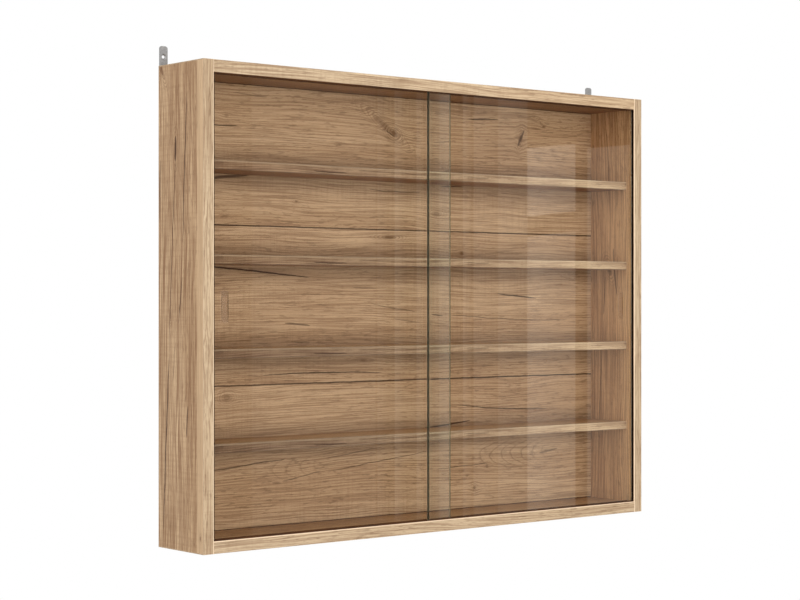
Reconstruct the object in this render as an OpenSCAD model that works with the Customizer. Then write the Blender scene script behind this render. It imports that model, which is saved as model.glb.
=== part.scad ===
// Wall mounted showcase: a shallow chipboard cabinet with four fixed shelves
// behind two glass doors that slide past each other in double-channel tracks.
// X runs along the width, -Y is the front, +Y is the wall and +Z is up.
// The origin lies on the wall plane, midway between the two wall screw holes.

/* [Cabinet] */
// Overall width
cab_w = 800; // [600:1:1000]
// Overall depth of the cabinet, without the hanger plates
cab_d = 106; // [100:1:140]
// Thickness of the side, top and bottom boards
board_t = 16; // [16:1:19]
// Thickness of the edge bands
band_t = 1; // [0.9:0.1:1.5]

/* [Shelves] */
// Thickness of each shelf
shelf_t = 12; // [12:1:16]
// Clear height of each compartment
compartment_h = 110; // [80:1:160]
// Distance from the front of the cabinet to the front of a shelf
shelf_setback = 18.5; // [18.5:0.5:30]

/* [Back panel] */
// Thickness of the back panel
back_t = 3; // [2.5:0.5:4]
// Empty space behind the back panel
back_recess = 8; // [6:0.5:10]
// Depth of the grooves that hold the back panel
groove_deep = 5; // [4:0.5:6]

/* [Glass doors] */
// Thickness of the glass
glass_t = 4; // [3:0.5:5]
// How far the closed doors overlap in the middle
door_overlap = 45; // [20:1:80]
// Gap between a closed door and the side board
door_side_gap = 1; // [1:0.5:3]
// Width of the ground finger recess
recess_w = 10; // [8:1:14]
// Height of the ground finger recess
recess_h = 42; // [30:1:60]
// Depth of the ground finger recess
recess_deep = 1.2; // [0.8:0.1:1.5]
// Distance from the door's outer edge to the middle of the recess
recess_inset = 24; // [15:1:40]

/* [Tracks] */
// Distance from the front of the cabinet to the front of the tracks
track_setback = 2; // [1.5:0.5:4]
// Thickness of the outer walls of a track
track_wall = 1.6; // [1.2:0.1:2]
// Thickness of the rib between the two channels
track_rib = 3.2; // [2.2:0.1:4]
// Gap on each side of the glass in its channel
channel_gap = 0.4; // [0.3:0.1:0.8]
// How far a track stands out of its board
track_lip = 1; // [1:0.5:4]
// How deep the upper track is let into the top board
upper_let_in = 8; // [7:0.5:9]
// How deep the lower track is let into the bottom board
lower_let_in = 3.5; // [2.5:0.5:4]

/* [Hangers] */
// Width of a hanger plate
plate_w = 12; // [12:1:16]
// Thickness of a hanger plate
plate_t = 2; // [1.5:0.5:3]
// Height of the hanger plates above the cabinet
plate_above = 26.5; // [22:0.5:40]
// Length of the hanger plates below the cabinet's top
plate_below = 48; // [44:1:70]
// Diameter of a wall screw hole
wall_hole_d = 4.2; // [3.6:0.2:5]
// Diameter of the countersink of a wall screw hole
wall_sink_d = 7.8; // [7:0.2:9]
// Height of the wall screw holes above the cabinet
wall_hole_up = 12.5; // [10:0.5:16]

/* [Hidden] */
$fn = 64;
cut = 1;              // how far cutting shapes run past the surface they open
fit_gap = 0.05;       // radial gap around pins and screws
corner_r = 0.8;       // rounding along the edge bands
tip_gap = 0.5;        // free space past the end of a pin in its hole

shelf_count = 4;
cab_h = 2 * board_t + shelf_count * shelf_t + (shelf_count + 1) * compartment_h;
inner_w = cab_w - 2 * board_t;

// Planes of the cabinet
outer_x = cab_w / 2;
inner_x = inner_w / 2;
back_y = -plate_t;
front_y = back_y - cab_d;
high_z = -wall_hole_up;
low_z = high_z - cab_h;
ceiling_z = high_z - board_t;
floor_z = low_z + board_t;

// Back panel
back_rear_y = back_y - back_recess;
back_front_y = back_rear_y - back_t;
groove_w = back_t + 0.2;
back_edge_in = groove_deep - 0.5;

// Tracks and glass
channel_w = glass_t + 2 * channel_gap;
track_w = 2 * track_wall + 2 * channel_w + track_rib;
track_y = front_y + track_setback;
track_base = 1.2;
glass_floor_gap = 0.2;
glass_up = 2;         // how far the glass reaches above the ceiling
glass_low_z = floor_z - lower_let_in + track_base + glass_floor_gap;
glass_high_z = ceiling_z + glass_up;
front_glass_y = track_y + track_wall + channel_gap;
rear_glass_y = front_glass_y + channel_w + track_rib;
door_w = inner_x - door_side_gap + door_overlap / 2;

// Dust strips in front of the glass
strip_w = 2.1;
strip_y = front_glass_y - 0.2 - strip_w;
strip_deep = 3;
strip_proud = 1.8;

// Joints of the boards: one cam and two dowels at each corner
dowel_r = 4;
dowel_l = 30;
dowel_in_side = 10;
dowel_ys = [front_y + 28, front_y + 82];
cam_y = front_y + 55;
cam_r = 7.5;
cam_deep = 12.5;
cam_from_end = 34;
bolt_r = 3;
bolt_neck_r = 2;
bolt_thread_r = 2.5;
bolt_thread_l = 10.5;
bolt_neck_l = 5.6;
bolt_head_l = 4;
bolt_bore_r = 4;
cover_r = 8.5;
cover_t = 1;

// Shelf joints: two dowels at each end
shelf_dowel_r = 3;
shelf_dowel_l = 25;
shelf_dowel_in_side = 9.5;
shelf_dowel_ys = [front_y + 36, front_y + 78];

// Screws
back_screw_r = 1.5;
back_screw_l = 20;
back_screw_head_r = 3;
back_screw_head_l = 2;
back_screw_xs = [-inner_w / 6, inner_w / 6];
hanger_screw_r = 2;
hanger_screw_l = 20;
hanger_head_r = 3.8;
hanger_head_l = 1.8;
hanger_x = outer_x - board_t / 2;
hanger_screw_zs = [high_z - 16, high_z - 36];
plate_corner_r = 3.5;

// ---------- Helpers ----------

// A box between two opposite corners
module block(low, high) {
    translate(low) cube(high - low);
}

// Round bars along X and Y, starting at a point
module rod_x(start, r, length) {
    translate(start) rotate([0, 90, 0]) cylinder(r = r, h = length);
}

module rod_y(start, r, length) {
    translate(start) rotate([-90, 0, 0]) cylinder(r = r, h = length);
}

// Height of the middle of a shelf, counted from the lowest one
function shelf_z(number) =
    floor_z + number * compartment_h + (number - 0.5) * shelf_t;

// Left copy of something drawn for the right side
module on_left() {
    mirror([1, 0, 0]) children();
}

module on_both_sides() {
    children();
    on_left() children();
}

// Section of an edge band: depth along x, width along y, rounded at the front
module band_section(w) {
    translate([corner_r, 0]) square([band_t - corner_r, w]);
    translate([0, corner_r]) square([band_t, w - 2 * corner_r]);
    intersection() {
        square([band_t, w]);
        for (y = [corner_r, w - corner_r]) translate([corner_r, y]) circle(r = corner_r);
    }
}

// An edge band along X at the front of a board
module band_along_x(start, w) {
    translate(start) rotate([90, 0, 90]) linear_extrude(inner_w) band_section(w);
}

// A cross recess cut into a screw head, entered along -Y
module cross_recess(point, size, deep) {
    translate(point) {
        block([-size, -deep, -size / 5], [size, cut, size / 5]);
        block([-size / 5, -deep, -size], [size / 5, cut, size]);
    }
}

// ---------- Boards ----------

// Holes in the inner face of a side board for one corner of the cabinet
module side_corner_holes(z) {
    for (y = dowel_ys)
        rod_x([inner_x - cut, y, z], dowel_r, dowel_in_side + tip_gap + cut);
    rod_x([inner_x - cut, cam_y, z], bolt_thread_r, bolt_thread_l + tip_gap + cut);
}

module side_board() {
    difference() {
        block([inner_x, front_y + band_t, low_z + band_t], [outer_x, back_y, high_z - band_t]);
        block(
            [inner_x - cut, back_front_y, floor_z - groove_deep],
            [inner_x + groove_deep, back_front_y + groove_w, ceiling_z + groove_deep]
        );
        block(
            [inner_x - cut, strip_y, floor_z + track_lip],
            [inner_x + strip_deep, strip_y + strip_w, ceiling_z - track_lip]
        );
        side_corner_holes(ceiling_z + board_t / 2);
        side_corner_holes(floor_z - board_t / 2);
        for (number = [1:shelf_count], y = shelf_dowel_ys)
            rod_x(
                [inner_x - cut, y, shelf_z(number)],
                shelf_dowel_r, shelf_dowel_in_side + tip_gap + cut
            );
        for (z = hanger_screw_zs)
            rod_y(
                [hanger_x, back_y - hanger_screw_l - tip_gap, z],
                hanger_screw_r, hanger_screw_l + tip_gap + cut
            );
    }
}

module side_panel_left() { color("#b3946f") on_left() side_board(); }
module side_panel_right() { color("#b3946f") side_board(); }

// Holes in one end of the top or bottom board: two dowels, a bolt and a cam.
// z is the middle of the board and out points at its outer face.
module end_holes(z, out) {
    for (y = dowel_ys)
        rod_x(
            [inner_x - dowel_l + dowel_in_side - tip_gap, y, z],
            dowel_r, dowel_l - dowel_in_side + tip_gap + cut
        );
    rod_x([inner_x - cam_from_end, cam_y, z], bolt_bore_r, cam_from_end + cut);
    translate([inner_x - cam_from_end, cam_y, z + out * board_t / 2])
        mirror([0, 0, out > 0 ? 1 : 0])
            translate([0, 0, -cut]) cylinder(r = cam_r, h = cam_deep + cut);
}

module top_panel() {
    color("#b08f68") difference() {
        block([-inner_x, front_y + band_t, ceiling_z], [inner_x, back_y, high_z]);
        block(
            [-inner_x - cut, track_y, ceiling_z - cut],
            [inner_x + cut, track_y + track_w, ceiling_z + upper_let_in]
        );
        block(
            [-inner_x - cut, back_front_y, ceiling_z - cut],
            [inner_x + cut, back_front_y + groove_w, ceiling_z + groove_deep]
        );
        on_both_sides() end_holes(ceiling_z + board_t / 2, 1);
    }
}

module bottom_panel() {
    color("#b08f68") difference() {
        block([-inner_x, front_y + band_t, low_z], [inner_x, back_y, floor_z]);
        block(
            [-inner_x - cut, track_y, floor_z - lower_let_in],
            [inner_x + cut, track_y + track_w, floor_z + cut]
        );
        block(
            [-inner_x - cut, back_front_y, floor_z - groove_deep],
            [inner_x + cut, back_front_y + groove_w, floor_z + cut]
        );
        on_both_sides() end_holes(floor_z - board_t / 2, -1);
    }
}

module back_panel() {
    color("#a5835c") difference() {
        block(
            [-inner_x - back_edge_in, back_front_y, floor_z - back_edge_in],
            [inner_x + back_edge_in, back_rear_y, ceiling_z + back_edge_in]
        );
        for (number = [1:shelf_count], x = back_screw_xs)
            rod_y(
                [x, back_front_y - cut, shelf_z(number)],
                back_screw_r + fit_gap, back_t + 2 * cut
            );
    }
}

// ---------- Shelves ----------

module shelf(number) {
    z = shelf_z(number);
    screw_hole_l = back_screw_l - back_t + tip_gap;
    color("#b39773") difference() {
        block(
            [-inner_x, front_y + shelf_setback + band_t, z - shelf_t / 2],
            [inner_x, back_front_y, z + shelf_t / 2]
        );
        on_both_sides() for (y = shelf_dowel_ys)
            rod_x(
                [inner_x - shelf_dowel_l + shelf_dowel_in_side - tip_gap, y, z],
                shelf_dowel_r, shelf_dowel_l - shelf_dowel_in_side + tip_gap + cut
            );
        for (x = back_screw_xs)
            rod_y([x, back_front_y - screw_hole_l, z], back_screw_r + fit_gap, screw_hole_l + cut);
    }
}

module shelf_1() { shelf(1); }
module shelf_2() { shelf(2); }
module shelf_3() { shelf(3); }
module shelf_4() { shelf(4); }

// ---------- Edge bands ----------

module side_band() {
    translate([inner_x, front_y, low_z])
        linear_extrude(cab_h) mirror([1, -1]) band_section(board_t);
}

module edge_band_left() { color("#cdb18c") on_left() side_band(); }
module edge_band_right() { color("#cdb18c") side_band(); }

module edge_band_top() {
    color("#cfb48f") band_along_x([-inner_x, front_y, ceiling_z], board_t);
}

module edge_band_bottom() {
    color("#cfb48f") band_along_x([-inner_x, front_y, low_z], board_t);
}

// The bands on the upper and lower ends of a side board
module end_bands() {
    block([inner_x, front_y + band_t, high_z - band_t], [outer_x, back_y, high_z]);
    block([inner_x, front_y + band_t, low_z], [outer_x, back_y, low_z + band_t]);
}

module end_bands_left() { color("#c4a47c") on_left() end_bands(); }
module end_bands_right() { color("#c4a47c") end_bands(); }

module shelf_band(number) {
    color("#c0a580")
        band_along_x([-inner_x, front_y + shelf_setback, shelf_z(number) - shelf_t / 2], shelf_t);
}

module shelf_band_1() { shelf_band(1); }
module shelf_band_2() { shelf_band(2); }
module shelf_band_3() { shelf_band(3); }
module shelf_band_4() { shelf_band(4); }

// ---------- Tracks and dust strips ----------

// Section of a double-channel track: a base and three walls with rounded tips
module track_section(h) {
    tip_r = track_wall / 2;
    rib_start = track_wall + channel_w;
    square([track_w, track_base]);
    for (start = [0, track_w - track_wall]) {
        translate([start, 0]) square([track_wall, h - tip_r]);
        translate([start + tip_r, h - tip_r]) circle(r = tip_r);
    }
    translate([rib_start, 0]) square([track_rib, h - tip_r]);
    translate([rib_start + tip_r, 0]) square([track_rib - track_wall, h]);
    for (start = [rib_start + tip_r, rib_start + track_rib - tip_r])
        translate([start, h - tip_r]) circle(r = tip_r);
}

module lower_track() {
    color("#3a2417") translate([-inner_x, track_y, floor_z - lower_let_in])
        rotate([90, 0, 90]) linear_extrude(inner_w) track_section(lower_let_in + track_lip);
}

module upper_track() {
    color("#3a2417") translate([-inner_x, track_y, ceiling_z + upper_let_in])
        mirror([0, 0, 1]) rotate([90, 0, 90])
            linear_extrude(inner_w) track_section(upper_let_in + track_lip);
}

module dust_strip() {
    color("#141010") block(
        [inner_x - strip_proud, strip_y, floor_z + track_lip],
        [inner_x + strip_deep, strip_y + strip_w, ceiling_z - track_lip]
    );
}

module dust_strip_left() { on_left() dust_strip(); }
module dust_strip_right() { dust_strip(); }

// ---------- Glass doors ----------

// The right-hand door, with a recess ground into its front near the outer edge
module glass_door(face_y) {
    grind_r = (pow(recess_h / 2, 2) + pow(recess_deep, 2)) / (2 * recess_deep);
    outer_edge_x = inner_x - door_side_gap;
    difference() {
        block(
            [outer_edge_x - door_w, face_y, glass_low_z],
            [outer_edge_x, face_y + glass_t, glass_high_z]
        );
        rod_x(
            [
                outer_edge_x - recess_inset - recess_w / 2,
                face_y + recess_deep - grind_r,
                (low_z + high_z) / 2
            ],
            grind_r, recess_w
        );
    }
}

module glass_door_left() { color("#a9c4bd", 0.35) on_left() glass_door(rear_glass_y); }
module glass_door_right() { color("#a9c4bd", 0.35) glass_door(front_glass_y); }

// ---------- Hangers ----------

module plate_outline() {
    h = plate_above + plate_below;
    r = plate_corner_r;
    translate([-plate_w / 2, r]) square([plate_w, h - 2 * r]);
    translate([r - plate_w / 2, 0]) square([plate_w - 2 * r, h]);
    for (x = [r - plate_w / 2, plate_w / 2 - r], y = [r, h - r])
        translate([x, y]) circle(r = r);
}

module hanger_plate() {
    color("#a9abac") difference() {
        translate([hanger_x, 0, high_z - plate_below])
            rotate([90, 0, 0]) linear_extrude(plate_t) plate_outline();
        rod_y([hanger_x, -plate_t - cut, 0], wall_hole_d / 2, plate_t + 2 * cut);
        translate([hanger_x, -plate_t, 0]) rotate([-90, 0, 0]) cylinder(
            r1 = wall_sink_d / 2,
            r2 = wall_hole_d / 2,
            h = (wall_sink_d - wall_hole_d) / 2
        );
        for (z = hanger_screw_zs) {
            rod_y([hanger_x, -plate_t - cut, z], hanger_screw_r + fit_gap, plate_t + 2 * cut);
            translate([hanger_x, 0, z]) rotate([90, 0, 0]) cylinder(
                r1 = hanger_head_r + fit_gap,
                r2 = hanger_screw_r + fit_gap,
                h = hanger_head_l + fit_gap
            );
        }
    }
}

module hanger_plate_left() { on_left() hanger_plate(); }
module hanger_plate_right() { hanger_plate(); }

// Countersunk screws that hold the plates on the rear edges of the side boards
module hanger_screws() {
    color("#c9b98a") on_both_sides() for (z = hanger_screw_zs) difference() {
        union() {
            rod_y(
                [hanger_x, back_y - hanger_screw_l, z],
                hanger_screw_r - fit_gap, hanger_screw_l + plate_t / 2
            );
            translate([hanger_x, -fit_gap, z]) rotate([90, 0, 0])
                cylinder(r1 = hanger_head_r, r2 = hanger_screw_r - fit_gap, h = hanger_head_l);
        }
        cross_recess([hanger_x, -fit_gap, z], 2, 1.4);
    }
}

// ---------- Hidden joinery ----------

// One cam bolt per corner, from the side board into the cam
module cam_bolt(z) {
    neck_x = inner_x - cam_from_end + bolt_neck_r;
    rod_x([inner_x, cam_y, z], bolt_thread_r - fit_gap, bolt_thread_l);
    rod_x([neck_x + bolt_neck_l, cam_y, z], bolt_r, cam_from_end - bolt_neck_r - bolt_neck_l);
    rod_x([neck_x, cam_y, z], bolt_neck_r, bolt_neck_l);
    rod_x([neck_x - bolt_head_l, cam_y, z], bolt_r, bolt_head_l);
}

module cam_bolts() {
    color("#b9b9bb") on_both_sides() {
        cam_bolt(ceiling_z + board_t / 2);
        cam_bolt(floor_z - board_t / 2);
    }
}

// The turned cam: a disc with a pocket for the bolt's head and a narrower slot for its neck
module cam_lock() {
    play = 0.3;
    head_x = bolt_neck_r - bolt_head_l;
    difference() {
        translate([0, 0, -cam_deep + play]) cylinder(r = cam_r - fit_gap, h = cam_deep - play);
        translate([0, 0, -board_t / 2]) {
            block(
                [head_x - play, -bolt_r - play, -bolt_r - play],
                [bolt_neck_r + play, bolt_r + play, bolt_r + play]
            );
            block(
                [0, -bolt_neck_r - play, -bolt_r - play],
                [cam_r + cut, bolt_neck_r + play, bolt_r + play]
            );
        }
        block([-5, -0.8, -2.5], [5, 0.8, cut]);
        block([-0.8, -5, -2.5], [0.8, 5, cut]);
    }
}

module cam_locks() {
    color("#8f9093") on_both_sides() {
        translate([inner_x - cam_from_end, cam_y, high_z]) cam_lock();
        translate([inner_x - cam_from_end, cam_y, low_z]) mirror([0, 0, 1]) cam_lock();
    }
}

// Caps that cover the cams, chamfered at the rim
module cam_cover() {
    cylinder(r1 = cover_r, r2 = cover_r - cover_t / 2, h = cover_t);
}

module cam_covers() {
    color("#b89868") on_both_sides() {
        translate([inner_x - cam_from_end, cam_y, high_z]) cam_cover();
        translate([inner_x - cam_from_end, cam_y, low_z]) mirror([0, 0, 1]) cam_cover();
    }
}

module carcass_dowels() {
    color("#d8bd8f") on_both_sides()
        for (y = dowel_ys, z = [ceiling_z + board_t / 2, floor_z - board_t / 2])
            rod_x([inner_x + dowel_in_side - dowel_l, y, z], dowel_r - fit_gap, dowel_l);
}

module shelf_dowels() {
    color("#d8bd8f") on_both_sides()
        for (number = [1:shelf_count], y = shelf_dowel_ys)
            rod_x(
                [inner_x + shelf_dowel_in_side - shelf_dowel_l, y, shelf_z(number)],
                shelf_dowel_r - fit_gap, shelf_dowel_l
            );
}

// Pan head screws through the back panel into the rear edges of the shelves
module back_panel_screws() {
    color("#c2b27e") for (number = [1:shelf_count], x = back_screw_xs) difference() {
        union() {
            rod_y([x, back_rear_y - back_screw_l, shelf_z(number)], back_screw_r, back_screw_l);
            translate([x, back_rear_y, shelf_z(number)]) rotate([-90, 0, 0]) cylinder(
                r1 = back_screw_head_r, r2 = back_screw_head_r - 0.8, h = back_screw_head_l
            );
        }
        cross_recess([x, back_rear_y + back_screw_head_l, shelf_z(number)], 1.6, 1.2);
    }
}

side_panel_left();
side_panel_right();
top_panel();
bottom_panel();
back_panel();
shelf_1();
shelf_2();
shelf_3();
shelf_4();
edge_band_left();
edge_band_right();
edge_band_top();
edge_band_bottom();
end_bands_left();
end_bands_right();
shelf_band_1();
shelf_band_2();
shelf_band_3();
shelf_band_4();
upper_track();
lower_track();
dust_strip_left();
dust_strip_right();
glass_door_left();
glass_door_right();
hanger_plate_left();
hanger_plate_right();
hanger_screws();
cam_bolts();
cam_locks();
cam_covers();
carcass_dowels();
shelf_dowels();
back_panel_screws();
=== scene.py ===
"""Wall mounted showcase: materials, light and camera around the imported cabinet.

Everything is in metres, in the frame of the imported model: X along the width, -Y the front,
+Y the wall and +Z up. The boards, tracks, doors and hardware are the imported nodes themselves.
"""

import math

import bpy
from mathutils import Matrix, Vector


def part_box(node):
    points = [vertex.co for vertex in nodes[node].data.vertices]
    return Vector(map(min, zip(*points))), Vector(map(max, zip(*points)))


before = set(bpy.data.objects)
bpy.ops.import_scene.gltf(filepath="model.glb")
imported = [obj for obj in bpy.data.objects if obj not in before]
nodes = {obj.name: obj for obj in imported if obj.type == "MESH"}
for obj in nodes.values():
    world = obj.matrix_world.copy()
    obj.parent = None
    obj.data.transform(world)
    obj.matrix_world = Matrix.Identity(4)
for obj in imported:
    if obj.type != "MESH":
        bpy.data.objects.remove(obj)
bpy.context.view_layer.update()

MM = 0.001


# ---------- Node tree helper ----------


class Graph:
    """Short names for the shader nodes that the materials below are written in."""

    def __init__(self, tree):
        self.tree = tree

    def node(self, kind, **settings):
        made = self.tree.nodes.new(kind)
        for name, value in settings.items():
            setattr(made, name, value)
        return made

    def feed(self, socket, value):
        """Links an output to a socket, or sets the socket's own value."""
        if isinstance(value, bpy.types.NodeSocket):
            self.tree.links.new(value, socket)
        elif value is not None:
            socket.default_value = value

    def math(self, operation, *values):
        made = self.node("ShaderNodeMath", operation=operation)
        for socket, value in zip(made.inputs, values):
            self.feed(socket, value)
        return made.outputs[0]

    def add(self, a, b):
        return self.math("ADD", a, b)

    def sub(self, a, b):
        return self.math("SUBTRACT", a, b)

    def mul(self, a, b):
        return self.math("MULTIPLY", a, b)

    def split(self, vector):
        made = self.node("ShaderNodeSeparateXYZ")
        self.feed(made.inputs[0], vector)
        return made.outputs

    def join(self, x, y, z):
        made = self.node("ShaderNodeCombineXYZ")
        for socket, value in zip(made.inputs, (x, y, z)):
            self.feed(socket, value)
        return made.outputs[0]

    def noise(self, x, y, z, detail=2.0, roughness=0.5, distortion=0.0):
        made = self.node("ShaderNodeTexNoise", noise_dimensions="3D")
        self.feed(made.inputs["Vector"], self.join(x, y, z))
        made.inputs["Scale"].default_value = 1.0
        made.inputs["Detail"].default_value = detail
        made.inputs["Roughness"].default_value = roughness
        made.inputs["Distortion"].default_value = distortion
        return made.outputs["Fac"]

    def cells(self, x, y, z):
        """A random number for each cell of a broken-up pattern."""
        made = self.node("ShaderNodeTexVoronoi", feature="F1")
        self.feed(made.inputs["Vector"], self.join(x, y, z))
        made.inputs["Scale"].default_value = 1.0
        return self.split(made.outputs["Color"])[0]

    def ramp(self, value, low, high, out_low=0.0, out_high=1.0):
        """Smooth step from out_low at low to out_high at high."""
        made = self.node("ShaderNodeMapRange", interpolation_type="SMOOTHSTEP")
        for name, number in (
            ("Value", value),
            ("From Min", low),
            ("From Max", high),
            ("To Min", out_low),
            ("To Max", out_high),
        ):
            self.feed(made.inputs[name], number)
        return made.outputs["Result"]

    def mix(self, share, a, b, blend="MIX"):
        made = self.node("ShaderNodeMix", data_type="RGBA", blend_type=blend)
        made.clamp_factor = True
        self.feed(made.inputs["Factor"], share)
        self.feed(made.inputs["A"], a)
        self.feed(made.inputs["B"], b)
        return next(o for o in made.outputs if o.type == "RGBA")

    def group(self, tree, **values):
        made = self.node("ShaderNodeGroup", node_tree=tree)
        for name, value in values.items():
            self.feed(made.inputs[name], value)
        return made.outputs


def new_group(name, inputs, outputs):
    """An empty node group with float inputs: its graph, and the sockets of its two ends."""
    tree = bpy.data.node_groups.new(name, "ShaderNodeTree")
    for label in inputs:
        tree.interface.new_socket(label, in_out="INPUT", socket_type="NodeSocketFloat")
    for label, kind in outputs.items():
        tree.interface.new_socket(label, in_out="OUTPUT", socket_type="NodeSocket" + kind)
    g = Graph(tree)
    return g, g.node("NodeGroupInput").outputs, g.node("NodeGroupOutput").inputs


def rgb(red, green, blue):
    """A colour given as 0-255 screen values, as the linear values that shaders use."""
    linear = []
    for value in (red, green, blue):
        share = value / 255
        linear.append(share / 12.92 if share <= 0.04045 else ((share + 0.055) / 1.055) ** 2.4)
    return (*linear, 1.0)


# ---------- Places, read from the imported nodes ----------

side_low, side_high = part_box("side_panel_right")
band_low, band_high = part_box("edge_band_right")
back_low, back_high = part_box("back_panel")
inner_x = side_low.x
front_y = band_low.y
rear_y = side_high.y
cab_low_z = band_low.z
cab_high_z = band_high.z
cab_mid = Vector((0, (front_y + rear_y) / 2, (cab_low_z + cab_high_z) / 2))
ceiling_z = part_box("edge_band_top")[0].z
floor_inside_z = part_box("edge_band_bottom")[1].z
inner_half_z = ceiling_z - cab_mid.z


def middle_z(node):
    """Height of the middle of a node's box."""
    low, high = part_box(node)
    return (low.z + high.z) / 2


def mm(value):
    """A length given in millimetres, in metres."""
    return value * MM


def up(height):
    """Z of a height given in millimetres above the cabinet's lower end."""
    return cab_low_z + mm(height)


# ---------- Oak decor ----------

OAK_LIGHT = rgb(224, 192, 154)
OAK_MID = rgb(204, 170, 132)
OAK_DARK = rgb(140, 102, 70)
OAK_KNOT = rgb(104, 70, 44)
OAK_CRACK = rgb(54, 25, 10)
# Colour of the painted shade beside the shelves
OAK_PAINTED_SHADE = rgb(92, 60, 38)
# Colour of rubbed edges, also used for painted highlights along edges
RUBBED_AND_HIGHLIGHT = rgb(252, 228, 198)
OUTSIDE = (0.86, 0.87, 0.885)
# Painted shade: the darker, warmer tones of the boards inside the cabinet, of the back panel, of the
# ceiling, of the shelves below their middle, and a lighter one for the right panel's inner face
INSIDE_PAINTED_SHADE = (0.76, 0.63, 0.53)
BACK_PAINTED_SHADE = (0.765, 0.705, 0.695)
CEILING_PAINTED_SHADE = (0.45, 0.31, 0.22)
UNDERSIDE_PAINTED_SHADE = (0.62, 0.49, 0.43)
RIGHT_INSIDE_PAINTED_SHADE = (0.96, 0.81, 0.71)
LONG_X = "X"
LONG_Z = "Z"
PLANK_SEED_STEP = 1.37
# How far into a board, from its inner face, its painted inside shade changes to the tone of its outer
# face
TONE_CHANGE = (7 * MM, 9 * MM)
# Distances from the middle of a line: as far as the first it is full, from the second it is gone
PLANK_LINE = (0.6 * MM, 1.3 * MM)
SEAM_LINE = (0.5 * MM, 1.3 * MM)
# For the painted highlight along a rim, as for the lines above
RIM_HIGHLIGHT_LINE = (0.5 * MM, 1.7 * MM)
# Painted shade on the back panel beside each shelf: full as far as the first distance from a shelf's
# middle, gone from the second, and how strong it is
SHELF_SHADE = (8 * MM, 34 * MM)
SHELF_SHADE_STRENGTH = 0.34
# Width of the lighter band along every edge: wear and painted highlight
WORN_AND_HIGHLIGHT_EDGE = 0.6 * MM


def make_oak_group():
    """Oak print: wandering grain, growth lines, flecks, pores and saw marks.

    Along, Across and Depth are in metres. Seed moves to another part of the print, and Figure
    is how strongly its streaks show.
    """
    g, given, out = new_group(
        "oak_decor",
        ("Along", "Across", "Depth", "Seed", "Figure"),
        {"Color": "Color", "Height": "Float"},
    )
    a = g.add(given["Along"], g.mul(given["Seed"], 3.17))
    c = g.add(given["Across"], g.mul(given["Seed"], 1.71))
    d = given["Depth"]

    wander = g.noise(g.mul(a, 1.6), g.mul(c, 5), g.mul(d, 5), detail=3)
    c = g.add(c, g.mul(g.sub(wander, 0.5), 0.05))
    ripple = g.noise(g.mul(a, 9), g.mul(c, 22), g.mul(d, 22), detail=2)
    c = g.add(c, g.mul(g.sub(ripple, 0.5), 0.0018))
    tone = g.noise(g.mul(a, 1.6), g.mul(c, 24), g.mul(d, 24), detail=2)
    broad = g.noise(g.mul(a, 5), g.mul(c, 150), g.mul(d, 150), detail=2, roughness=0.6)
    streak = g.noise(g.mul(a, 9), g.mul(c, 600), g.mul(d, 600), detail=2, roughness=0.6)
    patch = g.noise(g.mul(a, 3), g.mul(c, 9), g.mul(d, 9), detail=2)
    growth = g.math("FRACT", g.add(g.mul(c, 290), g.add(g.mul(patch, 5), g.mul(ripple, 2))))
    growth = g.mul(g.ramp(growth, 0.3, 0.95), g.ramp(patch, 0.36, 0.56))
    fleck = g.noise(g.mul(a, 60), g.mul(c, 430), g.mul(d, 430), detail=2)
    fleck = g.mul(g.ramp(fleck, 0.56, 0.66), g.ramp(tone, 0.7, 0.4, 0.3, 1.0))
    pores = g.ramp(g.noise(g.mul(a, 120), g.mul(c, 1700), g.mul(d, 1700), detail=1), 0.58, 0.7)
    saw = g.noise(g.mul(a, 330), g.mul(c, 14), g.mul(d, 14), detail=1)
    saw = g.mul(g.ramp(saw, 0.45, 0.65), g.ramp(patch, 0.46, 0.6))

    colour = g.mix(g.ramp(tone, 0.3, 0.7), OAK_MID, OAK_LIGHT)
    colour = g.mix(g.mul(g.ramp(broad, 0.44, 0.62), given["Figure"]), colour, OAK_DARK)
    streak_share = g.add(g.mul(given["Figure"], 0.65), 0.5)
    colour = g.mix(g.mul(g.ramp(streak, 0.43, 0.6), streak_share), colour, OAK_DARK)
    colour = g.mix(g.mul(growth, 0.2), colour, OAK_DARK)
    colour = g.mix(g.mul(fleck, 0.4), colour, OAK_KNOT)
    colour = g.mix(g.mul(pores, 0.3), colour, OAK_DARK)
    colour = g.mix(g.mul(saw, 0.14), colour, OAK_DARK)
    height = g.sub(g.mul(tone, 0.3), g.mul(pores, 0.35))
    g.feed(out["Color"], colour)
    g.feed(out["Height"], height)
    return g.tree


def make_crack_group():
    """A thin crack along the grain, tapered at both ends. Wave makes it waver."""
    names = ("Along", "Across", "Wave", "Start", "Start Across", "Length", "Rise", "Bow", "Width")
    g, given, out = new_group("decor_crack", names, {"Mask": "Float"})
    share = g.math("DIVIDE", g.sub(given["Along"], given["Start"]), given["Length"])
    arch = g.mul(g.mul(share, g.math("SUBTRACT", 1.0, share)), 4.0)
    arch = g.math("MAXIMUM", arch, 0.0)
    middle = g.add(given["Start Across"], g.mul(given["Rise"], share))
    middle = g.add(middle, g.add(g.mul(given["Bow"], arch), given["Wave"]))
    half = g.add(g.mul(given["Width"], g.math("SQRT", arch)), 0.00001)
    gap = g.math("ABSOLUTE", g.sub(given["Across"], middle))
    mask = g.ramp(gap, g.mul(half, 0.3), half, 1.0, 0.0)
    g.feed(out["Mask"], g.mul(mask, g.ramp(arch, 0.0, 0.15)))
    return g.tree


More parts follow.
